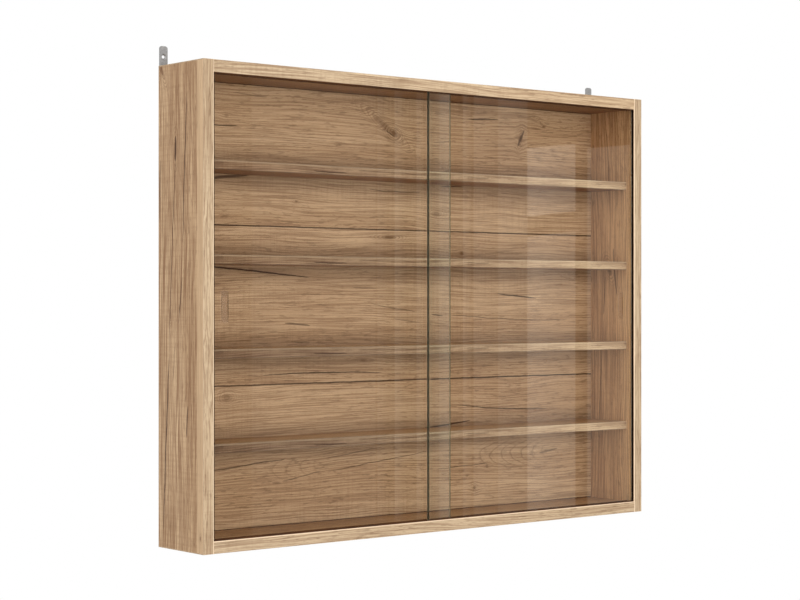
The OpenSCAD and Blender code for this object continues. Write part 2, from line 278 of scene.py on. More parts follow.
def make_knot_group():
    """A knot: Mask is its dark heart, Ring the lines round it, Push bends the grain aside."""
    names = ("Along", "Across", "Wave", "Middle", "Middle Across", "Long", "Wide", "Lean")
    g, given, out = new_group("decor_knot", names, {"Mask": "Float", "Ring": "Float", "Push": "Float"})
    run = g.sub(given["Along"], given["Middle"])
    rise = g.sub(given["Across"], g.add(given["Middle Across"], g.mul(run, given["Lean"])))
    u = g.math("DIVIDE", run, given["Long"])
    v = g.math("DIVIDE", rise, given["Wide"])
    reach = g.math("SQRT", g.add(g.mul(u, u), g.mul(v, v)))
    rough = g.add(reach, g.mul(given["Wave"], 260))
    g.feed(out["Mask"], g.ramp(rough, 0.2, 1.1, 1.0, 0.0))
    lines = g.ramp(g.math("FRACT", g.mul(rough, 2.2)), 0.5, 1.0)
    g.feed(out["Ring"], g.mul(lines, g.ramp(reach, 1.2, 3.0, 1.0, 0.0)))
    g.feed(out["Push"], g.mul(g.mul(rise, -0.6), g.ramp(reach, 0.0, 3.2, 1.0, 0.0)))
    return g.tree


def make_flame_group():
    """Nested arcs of growth lines around a tip, as where the saw cuts the rings flat."""
    names = ("Along", "Across", "Wave", "Tip", "Tip Across", "Long", "Wide", "Pitch")
    g, given, out = new_group("decor_flame", names, {"Mask": "Float"})
    run = g.sub(given["Along"], given["Tip"])
    rise = g.sub(given["Across"], given["Tip Across"])
    curve = g.mul(g.mul(rise, rise), 95.0)
    ring = g.math("DIVIDE", g.add(g.sub(run, curve), g.mul(given["Wave"], 6)), given["Pitch"])
    lines = g.ramp(g.math("FRACT", ring), 0.72, 0.97)
    side = g.ramp(g.math("DIVIDE", g.math("ABSOLUTE", rise), given["Wide"]), 0.6, 1.0, 1.0, 0.0)
    length = g.math("DIVIDE", run, given["Long"])
    ends = g.mul(g.ramp(length, 0.0, 0.15), g.ramp(length, 0.6, 1.0, 1.0, 0.0))
    g.feed(out["Mask"], g.mul(lines, g.mul(side, ends)))
    return g.tree


oak_group = make_oak_group()
crack_group = make_crack_group()
knot_group = make_knot_group()
flame_group = make_flame_group()


def new_material(name):
    """A material with a Principled shader: the material, its graph, the shader and the output."""
    made = bpy.data.materials.new(name)
    made.use_nodes = True
    made.node_tree.nodes.clear()
    g = Graph(made.node_tree)
    shader = g.node("ShaderNodeBsdfPrincipled")
    output = g.node("ShaderNodeOutputMaterial")
    g.feed(output.inputs["Surface"], shader.outputs[0])
    return made, g, shader, output


def object_point(g):
    return g.node("ShaderNodeTexCoord").outputs["Object"]


def bump(g, shader, height, distance):
    """Raises the surface by height, which counts in steps of distance metres."""
    made = g.node("ShaderNodeBump")
    made.inputs["Strength"].default_value = 1.0
    made.inputs["Distance"].default_value = distance
    g.feed(made.inputs["Height"], height)
    g.feed(shader.inputs["Normal"], made.outputs[0])


def edge_mask(g, point, node, width):
    """1 along the edges of a node's box and 0 further than width from them."""
    low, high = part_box(node)
    gaps = []
    for axis, value in enumerate(point):
        gaps.append(
            g.math("MINIMUM", g.sub(value, low[axis]), g.math("SUBTRACT", high[axis], value))
        )
    nearest = g.math("MINIMUM", gaps[0], gaps[1])
    other = g.math("MAXIMUM", gaps[0], gaps[1])
    second = g.math("MAXIMUM", nearest, g.math("MINIMUM", other, gaps[2]))
    return g.ramp(second, 0.0, width, 1.0, 0.0)


def chipboard(g, x, y, z):
    """Colour of a raw chipboard edge: chips of several browns."""
    tone = g.cells(g.mul(x, 520), g.mul(y, 520), g.mul(z, 300))
    fine = g.noise(g.mul(x, 1500), g.mul(y, 1500), g.mul(z, 900), detail=3)
    colour = g.mix(tone, rgb(148, 112, 76), rgb(205, 172, 128))
    return g.mix(g.ramp(fine, 0.5, 0.75, 0.0, 0.6), colour, rgb(112, 80, 52))


def hardboard(g, x, y, z):
    """Colour of the smooth brown rear of a fibreboard panel."""
    fibres = g.noise(
        g.mul(x, 240), g.mul(y, 240), g.mul(z, 240), detail=5, roughness=0.75, distortion=1.5
    )
    cloud = g.noise(g.mul(x, 9), g.mul(y, 9), g.mul(z, 9), detail=3)
    colour = g.mix(g.ramp(cloud, 0.3, 0.7), rgb(137, 101, 72), rgb(145, 108, 77))
    return g.mix(g.ramp(fibres, 0.45, 0.62, 0.0, 0.55), colour, rgb(94, 64, 42))


class Decor:
    """What is printed on one board beside the running grain, placed along and across it.

    cracks, knots and flames are the places and sizes that their node groups take, with a
    strength last. joints are the levels where the print goes over to the next plank. seams are
    levels and strengths of straight dark lines. shades are levels beside which painted shade darkens a
    board.
    """

    def __init__(self, cracks=(), knots=(), flames=(), joints=(), seams=(), shades=()):
        self.cracks = cracks
        self.knots = knots
        self.flames = flames
        self.joints = joints
        self.seams = seams
        self.shades = shades


PLAIN = Decor()


def print_knots(g, decor, along, across, wave):
    """Knots and flames: the grain bent round them, their dark hearts and the lines around."""
    bent = across
    dark = 0.0
    ring = 0.0
    for middle, middle_across, long, wide, lean, strength in decor.knots:
        knot = g.group(
            knot_group,
            Along=along,
            Across=across,
            Wave=wave,
            Middle=middle,
            **{"Middle Across": middle_across},
            Long=long,
            Wide=wide,
            Lean=lean,
        )
        bent = g.add(bent, knot["Push"])
        dark = g.math("MAXIMUM", dark, g.mul(knot["Mask"], strength))
        ring = g.math("MAXIMUM", ring, g.mul(knot["Ring"], strength))
    for tip, tip_across, long, wide, pitch, strength in decor.flames:
        flame = g.group(
            flame_group,
            Along=along,
            Across=across,
            Wave=wave,
            Tip=tip,
            **{"Tip Across": tip_across},
            Long=long,
            Wide=wide,
            Pitch=pitch,
        )
        ring = g.math("MAXIMUM", ring, g.mul(flame["Mask"], strength))
    return bent, dark, ring


def print_cracks(g, decor, along, across, wave):
    """Cracks along the grain."""
    split = 0.0
    for start, start_across, length, rise, bow, width, strength in decor.cracks:
        crack = g.group(
            crack_group,
            Along=along,
            Across=across,
            Wave=wave,
            Start=start,
            **{"Start Across": start_across},
            Length=length,
            Rise=rise,
            Bow=bow,
            Width=width,
        )
        split = g.math("MAXIMUM", split, g.mul(crack["Mask"], strength))
    return split


def print_planks(g, decor, along, across, wave, seed):
    """Dark lines between planks and at seams, and the seed of the plank at each place."""
    split = 0.0
    wavy = g.add(across, g.mul(wave, 0.5))
    for joint in decor.joints:
        seed = g.add(seed, g.mul(g.math("GREATER_THAN", wavy, joint), PLANK_SEED_STEP))
        gap = g.math("ABSOLUTE", g.sub(wavy, joint))
        fade = g.noise(g.mul(along, 3), g.mul(across, 3), joint, detail=2)
        line = g.ramp(gap, *PLANK_LINE, 1.0, 0.0)
        split = g.math("MAXIMUM", split, g.mul(line, g.ramp(fade, 0.3, 0.6, 1.0, 0.85)))
    for level, strength in decor.seams:
        gap = g.math("ABSOLUTE", g.sub(across, level))
        split = g.math("MAXIMUM", split, g.ramp(gap, *SEAM_LINE, strength, 0.0))
    return split, seed


def board_tint(g, x, z, inside):
    """The darker tone of the surfaces inside the cabinet, and the tone of its outer faces."""
    # The inside tone is painted shade, for the light that the glass and the boards keep out
    start, end = TONE_CHANGE
    beyond_x = g.ramp(g.math("ABSOLUTE", x), inner_x + start, inner_x + end)
    off_z = g.math("ABSOLUTE", g.sub(z, cab_mid.z))
    beyond_z = g.ramp(off_z, inner_half_z + start, inner_half_z + end)
    return g.mix(g.math("MAXIMUM", beyond_x, beyond_z), (*inside, 1.0), (*OUTSIDE, 1.0))


def oak_material(
    node, long_axis, seed, decor=PLAIN, inside=INSIDE_PAINTED_SHADE, tints=None, figure=0.08, pale=None,
    under=None, centre=0.0, rim=None, rear=None,
):
    """Oak print on a board or an edge band, with the grain along long_axis.

    inside is the darker tone painted inside the cabinet as shade, and tints are the tones of the
    left and right ends of an edge band, which on the shelf bands and the top band are painted shade
    and light. figure is how strongly the print's streaks show. pale is the Y before which the print
    is lighter. under is the height below which a shelf is painted darker as shade. centre is the
    height that the print's places count from. rim is the axis, place and strength of a painted
    highlight along a rubbed edge. rear is the Y of the bare surface behind, and what colours it.
    """
    made, g, shader, _ = new_material("oak_" + node)
    x, y, z = g.split(object_point(g))
    along, across, depth = (x, g.sub(z, centre), y) if long_axis == LONG_X else (z, y, x)
    wave = g.noise(g.mul(along, 40), g.mul(across, 60), g.add(g.mul(depth, 20), seed), detail=3)
    wave = g.mul(g.sub(wave, 0.5), 3 * MM)
    bent, dark, ring = print_knots(g, decor, along, across, wave)
    cracks = print_cracks(g, decor, along, across, wave)
    lines, plank_seed = print_planks(g, decor, along, across, wave, seed)

    oak = g.group(oak_group, Along=along, Across=bent, Depth=depth, Seed=plank_seed, Figure=figure)
    colour = oak["Color"]
    if pale is not None:
        share = g.ramp(g.add(y, wave), pale - 1.5 * MM, pale + 1.5 * MM, 0.55, 0.0)
        colour = g.mix(share, colour, OAK_LIGHT)
    if tints:
        tone = g.mix(g.ramp(x, -inner_x, inner_x), (*tints[0], 1.0), (*tints[1], 1.0))
    else:
        tone = board_tint(g, x, z, inside)
    # Painted shade: a shelf darker below the given height, which takes in its underside
    if under is not None:
        shaded = g.mix(1.0, tone, (*UNDERSIDE_PAINTED_SHADE, 1.0), blend="MULTIPLY")
        tone = g.mix(g.math("LESS_THAN", z, under), tone, shaded)
    colour = g.mix(1.0, colour, tone, blend="MULTIPLY")
    # Painted shade on the back panel beside each shelf
    for level in decor.shades:
        away = g.math("ABSOLUTE", g.sub(across, level))
        shade = g.ramp(away, *SHELF_SHADE, SHELF_SHADE_STRENGTH, 0.0)
        colour = g.mix(shade, colour, OAK_PAINTED_SHADE)
    colour = g.mix(g.mul(ring, 0.7), colour, OAK_KNOT)
    colour = g.mix(g.mul(dark, 0.9), colour, OAK_KNOT)
    colour = g.mix(g.math("MAXIMUM", cracks, lines), colour, OAK_CRACK)
    # Lighter edges: wear, and a painted highlight where the edges catch the light
    worn_and_highlight = edge_mask(g, (x, y, z), node, WORN_AND_HIGHLIGHT_EDGE)
    colour = g.mix(g.mul(worn_and_highlight, 0.2), colour, RUBBED_AND_HIGHLIGHT)
    # Painted highlight along one rim
    if rim:
        axis, place, strength = rim
        away = g.math("ABSOLUTE", g.sub((x, y, z)[axis], place))
        colour = g.mix(g.ramp(away, *RIM_HIGHLIGHT_LINE, strength, 0.0), colour, RUBBED_AND_HIGHLIGHT)
    if rear:
        surface_y, bare_colour = rear
        share = g.ramp(y, surface_y - 0.2 * MM, surface_y - 0.1 * MM)
        colour = g.mix(share, colour, bare_colour(g, x, y, z))
    g.feed(shader.inputs["Base Color"], colour)
    g.feed(shader.inputs["Roughness"], g.ramp(oak["Height"], -0.4, 0.3, 0.62, 0.46))
    shader.inputs["Specular IOR Level"].default_value = 0.22
    bump(g, shader, oak["Height"], 0.1 * MM)
    return made


def paint(node, material):
    """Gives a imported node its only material."""
    nodes[node].data.materials.clear()
    nodes[node].data.materials.append(material)


def paint_oak(node, long_axis, seed, **look):
    paint(node, oak_material(node, long_axis, seed, **look))


# ---------- Boards ----------


def lying_crack(x, height, length, rise, bow, half_width, strength):
    """A crack along X, from millimetres: where it starts, and its shape."""
    return mm(x), up(height), mm(length), mm(rise), mm(bow), mm(half_width), strength


def upright_crack(height, y, length, rise, bow, half_width, strength):
    """A crack along Z, from millimetres."""
    return up(height), mm(y), mm(length), mm(rise), mm(bow), mm(half_width), strength


def lying_knot(x, height, half_length, half_width, lean, strength):
    """A knot on a board along X, from millimetres. lean is its rise over its run."""
    return mm(x), up(height), mm(half_length), mm(half_width), lean, strength


def upright_knot(height, y, half_length, half_width, lean, strength):
    """A knot on a board along Z, from millimetres."""
    return up(height), mm(y), mm(half_length), mm(half_width), lean, strength


def lying_flame(x, height, length, half_width, pitch, strength):
    """A flame on a board along X, from millimetres. pitch is the gap between its lines."""
    return mm(x), up(height), mm(length), mm(half_width), mm(pitch), strength


SHELVES = (1, 2, 3, 4)
BACK_CRACKS = (
    # start x, start height, length, rise, bow, half width, strength
    (-335, 557, 52, 0, 0, 1.17, 0.9),
    (-345, 484, 80, 8, 0, 3.38, 0.75),
    (-60, 481, 98, -1, -2, 1.04, 0.8),
    (-372, 371, 210, -17, 1, 1.69, 1.0),
    (-88, 341, 44, -1, 0, 1.17, 0.35),
    (-52, 317, 82, -11, 0, 1.17, 0.5),
    (-12, 296, 48, -5, 0, 1.17, 0.4),
    (-206, 292, 44, -4, 0, 2.08, 0.65),
    (-196, 266, 34, -1, 0, 1.04, 0.7),
    (-246, 221, 214, -1, 2, 1.3, 0.9),
    (42, 137, 92, 8, 0, 1.69, 0.95),
    (106, 169, 188, -11, -3, 1.3, 0.85),
    (92, 302, 244, -9, -3, 1.04, 0.65),
    (56, 302, 22, -2, 0, 1.3, 0.8),
    (186, 333, 82, -7, 0, 1.95, 0.85),
    (126, 591, 64, 3, 0, 1.3, 0.95),
    (60, 553, 40, 3, 0, 1.04, 0.5),
    (-345, 95, 142, 11, 0, 1.43, 0.75),
    (-134, 103, 100, 11, 0, 1.17, 0.5),
    (-204, 76, 60, 10, 0, 1.17, 0.55),
    (-136, 84, 190, 20, 0, 1.04, 0.6),
    (64, 77, 104, 3, 0, 1.04, 0.7),
    (272, 90, 40, 5, 0, 2.34, 0.6),
    (74, 489, 44, 2, 0, 1.3, 0.85),
    (-292, 602, 58, -3, 0, 1.17, 0.4),
    (300, 460, 70, 2, 0, 1.04, 0.45),
    (228, 556, 14, 24, 0, 6.5, 0.7),
    (-28, 566, 16, -9, 0, 1.56, 0.7),
)
BACK_KNOTS = (
    # middle x, middle height, half length, half width, lean, strength
    (-30, 572, 26, 7, -0.62, 0.6),
    (-13, 562, 9, 6, -0.2, 1.0),
    (234, 567, 6, 10, 0.6, 1.0),
    (116, 392, 5, 4, 0.0, 0.95),
    (-22, 413, 15, 3, 0.0, 0.85),
    (66, 449, 11, 5, 0.0, 0.6),
    (-186, 459, 4, 2, 0.0, 0.8),
    (-111, 541, 5, 2, 0.0, 0.7),
    (141, 45, 5, 5, 0.0, 0.8),
    (127, 64, 4, 2, 0.0, 0.6),
    (166, 76, 4, 4, 0.0, 0.7),
    (-301, 193, 9, 6, 0.0, 0.45),
    (278, 592, 9, 3, -0.7, 0.45),
    (-68, 238, 8, 3, 0.0, 0.6),
    (-302, 570, 5, 3, 0.0, 0.5),
)
BACK_FLAMES = (
    # tip x, tip height, length, half width, pitch, strength
    (132, 92, 190, 26, 21, 0.6),
    (-250, 92, 120, 20, 24, 0.35),
)
back_decor = Decor(
    cracks=[lying_crack(*spot) for spot in BACK_CRACKS],
    knots=[lying_knot(*spot) for spot in BACK_KNOTS],
    flames=[lying_flame(*spot) for spot in BACK_FLAMES],
    joints=(up(208.3), up(423.6)),
    seams=((floor_inside_z, 1.0), (ceiling_z, 1.0)),
    # Levels beside which the back panel gets painted shade: the shelves' middles
    shades=[middle_z(f"shelf_{number}") for number in SHELVES],
)

LEFT_CRACKS = (
    # start height, start y, length, rise, bow, half width, strength
    (250, -28, 285, -17, 2, 1.17, 0.7),
    (20, -14, 232, -14, 1, 1.69, 0.95),
    (394, -60, 200, -10, 1, 1.43, 0.9),
    (292, -50, 62, -9, 0, 1.56, 0.7),
    (146, -69, 42, -3, 0, 1.82, 0.8),
    (214, -36, 50, -5, 0, 1.04, 0.5),
    (502, -42, 34, -1, 0, 3.12, 0.8),
    (428, -4, 80, -3, 0, 1.82, 0.6),
)
LEFT_KNOTS = (
    # middle height, middle y, half length, half width, lean, strength
    (622, -10, 12, 5, 0.5, 0.8),
    (519, -42, 16, 4, 0.0, 0.6),
    (303, -31, 8, 3, 0.0, 0.5),
    (20, -101, 4, 2, 0.0, 0.7),
)
left_decor = Decor(
    cracks=[upright_crack(*spot) for spot in LEFT_CRACKS],
    knots=[upright_knot(*spot) for spot in LEFT_KNOTS],
)
RIGHT_CRACKS = (
    # start height, start y, length, rise, bow, half width, strength
    (330, -70, 74, 8, 2, 1.6, 0.8),
    (300, -40, 60, -5, 0, 1.2, 0.7),
    (90, -30, 210, -12, 2, 1.0, 0.6),
    (470, -52, 120, 6, -2, 0.9, 0.6),
)
right_decor = Decor(
    cracks=[upright_crack(*spot) for spot in RIGHT_CRACKS],
    knots=[upright_knot(372, -52, 12, 6, 0.3, 0.8)],
)

raw_boards = (rear_y, chipboard)
raw_back = (back_high.y, hardboard)
pale_from = front_y + 15 * MM
paint_oak(
    "side_panel_left", LONG_Z, 1.3, decor=left_decor, figure=0.42, pale=pale_from, rear=raw_boards
)
paint_oak(
    "side_panel_right", LONG_Z, 2.6, decor=right_decor, figure=0.16, inside=RIGHT_INSIDE_PAINTED_SHADE, rear=raw_boards
)
paint_oak("top_panel", LONG_X, 3.1, inside=CEILING_PAINTED_SHADE, rear=raw_boards)
paint_oak("bottom_panel", LONG_X, 4.4, rear=raw_boards)
paint_oak("back_panel", LONG_X, 5.2, decor=back_decor, inside=BACK_PAINTED_SHADE, rear=raw_back)

# Every shelf's band has the same print, and the same dark lines of painted shade along its upper and
# lower edges, placed along X and up from the band's middle
shelf_band_decor = Decor(
    cracks=(
        (mm(-214), mm(-2), mm(58), mm(-1), 0.0, mm(1.6), 0.75),
        (mm(-140), mm(2), mm(130), mm(-2), 0.0, mm(1.1), 0.5),
        (mm(52), mm(1), mm(50), mm(-1), 0.0, mm(1.2), 0.5),
    ),
    # Dark lines along the band's upper and lower edges: painted shade
    seams=((mm(6.4), 0.5), (mm(-6), 0.45)),
)
# How far above a shelf band's middle its painted highlight runs, along the upper edge
HIGHLIGHT_LINE_UP = 4.9 * MM
# Painted shade along the shelf bands, darkest at their left ends and on the lower shelves: the tones
# of their left ends, the lowest shelf first, and the tone of their right ends
SHELF_BAND_LEFT_PAINTED_SHADE = (
    (0.30, 0.25, 0.245),
    (0.33, 0.275, 0.27),
    (0.385, 0.325, 0.31),
    (0.405, 0.34, 0.33),
)
SHELF_BAND_RIGHT = (0.82, 0.82, 0.88)
for number, left_painted_shade in zip(SHELVES, SHELF_BAND_LEFT_PAINTED_SHADE):
    middle = middle_z(f"shelf_band_{number}")
    # The shelf darker below its band's middle: painted shade on its underside
    paint_oak(f"shelf_{number}", LONG_X, 6.0 + number, under=middle)
    paint_oak(
        f"shelf_band_{number}",
        LONG_X,
        11.4,
        decor=shelf_band_decor,
        tints=(left_painted_shade, SHELF_BAND_RIGHT),
        figure=0.3,
        centre=middle,
        rim=(2, middle + HIGHLIGHT_LINE_UP, 0.08),
    )

BAND = (0.715, 0.78, 0.85)
# Tone of the top band's right end, lighter than the other bands: painted light
BAND_PAINTED_LIGHT = (0.83, 0.90, 0.97)
# Strength of the painted highlight along the edge bands' inner rims
BAND_RIM_HIGHLIGHT = 0.6
for name, axis, seed, far_tint, rim in (
    ("edge_band_left", LONG_Z, 16.2, BAND, (0, -inner_x, BAND_RIM_HIGHLIGHT)),
    ("edge_band_right", LONG_Z, 17.7, BAND, (0, inner_x, BAND_RIM_HIGHLIGHT)),
    ("edge_band_top", LONG_X, 24.3, BAND_PAINTED_LIGHT, None),
    ("edge_band_bottom", LONG_X, 19.4, BAND, (2, floor_inside_z, BAND_RIM_HIGHLIGHT)),
    ("end_bands_left", LONG_X, 20.4, BAND, None),
    ("end_bands_right", LONG_X, 21.4, BAND, None),
):
    paint_oak(name, axis, seed, tints=(BAND, far_tint), rim=rim)


# ---------- Plastic, rubber and metal ----------


def extruded(name, light, dark, roughness, shine, dust):
    """Plastic or rubber drawn lengthwise: fine die lines, dull patches and a little dust."""
    made, g, shader, _ = new_material(name)
    x, y, z = g.split(object_point(g))
    lines = g.noise(g.mul(x, 3), g.mul(y, 1700), g.mul(z, 1700), detail=2)
    cloud = g.noise(g.mul(x, 22), g.mul(y, 60), g.mul(z, 22), detail=4)
    specks = g.ramp(g.noise(g.mul(x, 2600), g.mul(y, 2600), g.mul(z, 2600), detail=2), 0.66, 0.72)
    colour = g.mix(g.ramp(g.add(g.mul(lines, 0.5), g.mul(cloud, 0.5)), 0.4, 0.6), dark, light)
    colour = g.mix(g.mul(specks, dust), colour, rgb(170, 150, 128))
    g.feed(shader.inputs["Base Color"], colour)
    g.feed(shader.inputs["Roughness"], g.ramp(cloud, 0.3, 0.7, roughness - 0.08, roughness + 0.12))
    shader.inputs["Specular IOR Level"].default_value = shine
    bump(g, shader, lines, 0.05 * MM)
    return made


def galvanised(name, light, dark, cells_per_metre, roughness):
    """Zinc coated sheet: crystals of slightly different greys with fine scratches."""
    made, g, shader, _ = new_material(name)
    x, y, z = g.split(object_point(g))
    crystal = g.cells(*[g.mul(value, cells_per_metre) for value in (x, y, z)])
    cloud = g.noise(g.mul(x, 90), g.mul(y, 90), g.mul(z, 90), detail=4)
    scratch = g.noise(g.mul(x, 2400), g.mul(y, 2400), g.mul(z, 70), detail=2)
    scratch = g.ramp(scratch, 0.62, 0.72)
    colour = g.mix(g.add(g.mul(crystal, 0.6), g.mul(cloud, 0.4)), dark, light)
    colour = g.mix(g.mul(scratch, 0.25), colour, rgb(120, 120, 122))
    g.feed(shader.inputs["Base Color"], colour)
    shader.inputs["Metallic"].default_value = 0.6
    grade = g.add(g.mul(crystal, 0.16), g.mul(scratch, 0.12))
    g.feed(shader.inputs["Roughness"], g.add(grade, roughness))
    bump(g, shader, g.sub(g.mul(cloud, 0.4), scratch), 0.02 * MM)
    return made


def plated(name, light, dark, roughness):
    """Small plated or die-cast metal: mottled tone, handling marks and a grainy surface."""
    made, g, shader, _ = new_material(name)
    x, y, z = g.split(object_point(g))
    mottle = g.noise(g.mul(x, 500), g.mul(y, 500), g.mul(z, 500), detail=4)
    grain = g.noise(g.mul(x, 4200), g.mul(y, 4200), g.mul(z, 4200), detail=2)
    g.feed(shader.inputs["Base Color"], g.mix(g.ramp(mottle, 0.35, 0.65), dark, light))
    shader.inputs["Metallic"].default_value = 1.0
    g.feed(shader.inputs["Roughness"], g.ramp(mottle, 0.35, 0.65, roughness + 0.12, roughness - 0.06))
    bump(g, shader, grain, 0.02 * MM)
    return made


def moulded_cover():
    """Cap with a printed wood tone: fine streaks on leathery plastic."""
    made, g, shader, _ = new_material("cover_plastic")
    x, y, z = g.split(object_point(g))
    streak = g.noise(g.mul(x, 60), g.mul(y, 1100), g.mul(z, 1100), detail=3)
    leather = g.noise(g.mul(x, 3000), g.mul(y, 3000), g.mul(z, 3000), detail=1)
    colour = g.mix(g.ramp(streak, 0.35, 0.65), rgb(160, 124, 86), rgb(196, 162, 122))
    g.feed(shader.inputs["Base Color"], colour)
    g.feed(shader.inputs["Roughness"], g.ramp(leather, 0.35, 0.65, 0.42, 0.6))
    bump(g, shader, leather, 0.04 * MM)
    return made


def beech():
    """Beech dowel: short brown flecks in pale wood, with pressed grooves along it."""
    made, g, shader, _ = new_material("dowel_beech")
    x, y, z = g.split(object_point(g))
    grain = g.noise(g.mul(x, 70), g.mul(y, 1400), g.mul(z, 1400), detail=3)
    fleck = g.ramp(g.noise(g.mul(x, 420), g.mul(y, 2600), g.mul(z, 2600), detail=1), 0.6, 0.7)
    colour = g.mix(g.ramp(grain, 0.35, 0.65), rgb(196, 158, 112), rgb(222, 190, 146))
    g.feed(shader.inputs["Base Color"], g.mix(g.mul(fleck, 0.5), colour, rgb(140, 98, 62)))
    g.feed(shader.inputs["Roughness"], g.ramp(grain, 0.35, 0.65, 0.78, 0.62))
    bump(g, shader, grain, 0.12 * MM)
    return made


track_plastic = extruded("track_plastic", rgb(82, 48, 22), rgb(58, 30, 12), 0.5, 0.2, 0.3)
strip_rubber = extruded("strip_rubber", rgb(14, 6, 5), rgb(6, 2, 2), 0.7, 0.1, 0.08)
hanger_steel = galvanised("hanger_steel", rgb(174, 175, 176), rgb(148, 149, 151), 330, 0.42)
screw_steel = plated("screw_steel", rgb(226, 212, 168), rgb(186, 170, 122), 0.34)
cam_zinc = plated("cam_zinc", rgb(176, 177, 180), rgb(138, 139, 142), 0.46)
cover_plastic = moulded_cover()
dowel_beech = beech()
for name, made in (
    ("upper_track", track_plastic),
    ("lower_track", track_plastic),
    ("dust_strip_left", strip_rubber),
    ("dust_strip_right", strip_rubber),
    ("hanger_plate_left", hanger_steel),
    ("hanger_plate_right", hanger_steel),
    ("hanger_screws", screw_steel),
    ("back_panel_screws", screw_steel),
    ("cam_bolts", screw_steel),
    ("cam_locks", cam_zinc),
    ("cam_covers", cover_plastic),
    ("carcass_dowels", dowel_beech),
    ("shelf_dowels", dowel_beech),
):
    paint(name, made)


# ---------- Glass ----------

RECESS_FROM_END = 24 * MM
RECESS_HALF_WIDTH = 5.2 * MM
RECESS_HALF_HEIGHT = 21.2 * MM
RECESS_REACH = 1.4 * MM
ARRIS = 0.8 * MM
SHARP = 0.1 * MM
GLASS_FROSTED = (0.66, 0.58, 0.48, 1.0)
# Tint of the arris: painted shade for the dark line along the glass edges
GLASS_ARRIS_SHADE = (0.42, 0.37, 0.18, 1.0)
GLASS_END = (0.62, 0.62, 0.34, 1.0)


def glass_material(node, recess_x):
    """Clear float glass: polished faces, green depth, ground ends, a frosted finger recess."""
    made, g, shader, output = new_material(node)
    low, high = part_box(node)
    x, y, z = g.split(object_point(g))

    def within(value, middle, half):
        """1 as far as half from middle, and 0 just past that."""
        away = g.math("ABSOLUTE", g.sub(value, middle))
        return g.ramp(away, half, half + SHARP, 1.0, 0.0)

    outline = g.mul(
        within(x, recess_x, RECESS_HALF_WIDTH),
        within(z, middle_z(node), RECESS_HALF_HEIGHT),
    )
    behind_face = g.ramp(y, low.y + SHARP / 2, low.y + SHARP)
    reach = low.y + RECESS_REACH
    frosted = g.mul(g.mul(behind_face, g.ramp(y, reach, reach + SHARP, 1.0, 0.0)), outline)
    from_end = g.math("MINIMUM", g.sub(x, low.x), g.math("SUBTRACT", high.x, x))
    ground = g.ramp(from_end, SHARP / 2, SHARP, 1.0, 0.0)
    arris = g.ramp(from_end, ARRIS, ARRIS + SHARP, 1.0, 0.0)
    film = g.noise(g.mul(x, 16), g.mul(y, 16), g.mul(z, 16), detail=3)
    colour = g.mix(film, (0.975, 0.985, 0.978, 1.0), (0.995, 1.0, 0.998, 1.0))
    # Darker band along each end on both faces: the arris, with painted shade for the dark line that
    # the edge shows
    colour = g.mix(arris, colour, GLASS_ARRIS_SHADE)
    colour = g.mix(frosted, colour, GLASS_FROSTED)
    g.feed(shader.inputs["Base Color"], g.mix(ground, colour, GLASS_END))
    shader.inputs["Transmission Weight"].default_value = 1.0
    g.feed(shader.inputs["Roughness"], g.math("MAXIMUM", g.mul(frosted, 0.2), g.mul(ground, 0.5)))
    shader.inputs["IOR"].default_value = 1.5

    # Lamps and the light between the boards pass straight through
    clear = g.node("ShaderNodeBsdfTransparent")
    clear.inputs["Color"].default_value = (0.965, 0.975, 0.965, 1.0)
    path = g.node("ShaderNodeLightPath").outputs
    mixed = g.node("ShaderNodeMixShader")
    g.feed(mixed.inputs[0], g.math("MAXIMUM", path["Is Shadow Ray"], path["Is Diffuse Ray"]))
    g.feed(mixed.inputs[1], shader.outputs[0])
    g.feed(mixed.inputs[2], clear.outputs[0])
    g.feed(output.inputs["Surface"], mixed.outputs[0])
    depth = g.node("ShaderNodeVolumeAbsorption")
    depth.inputs["Color"].default_value = (0.50, 0.74, 0.52, 1.0)
    depth.inputs["Density"].default_value = 9.0
    g.feed(output.inputs["Volume"], depth.outputs[0])
    return made


left_end_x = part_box("glass_door_left")[0].x
right_end_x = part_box("glass_door_right")[1].x
paint("glass_door_left", glass_material("glass_door_left", left_end_x + RECESS_FROM_END))
paint("glass_door_right", glass_material("glass_door_right", right_end_x - RECESS_FROM_END))


# ---------- Camera ----------

scene = bpy.context.scene
VIEW_AZIMUTH = math.radians(39.34)
VIEW_DISTANCE = 2.730
AIM_LEFT = 0.0268
AIM_UP = 0.0084

forward = Vector((math.sin(VIEW_AZIMUTH), math.cos(VIEW_AZIMUTH), 0))
to_right = Vector((math.cos(VIEW_AZIMUTH), -math.sin(VIEW_AZIMUTH), 0))
aim = cab_mid - to_right * AIM_LEFT + Vector((0, 0, AIM_UP))
camera_data = bpy.data.cameras.new("camera")
camera_data.lens = 86.5
camera_data.sensor_width = 36
camera_data.clip_end = 100
camera = bpy.data.objects.new("camera", camera_data)
camera.location = aim - forward * VIEW_DISTANCE
camera.rotation_euler = (math.pi / 2, 0, -VIEW_AZIMUTH)
scene.collection.objects.link(camera)
scene.camera = camera
scene.view_settings.view_transform = "Standard"


# ---------- Light and floor ----------

# Heights below and above all that the glass mirrors
BELOW_ALL = -500
ABOVE_ALL = 1500
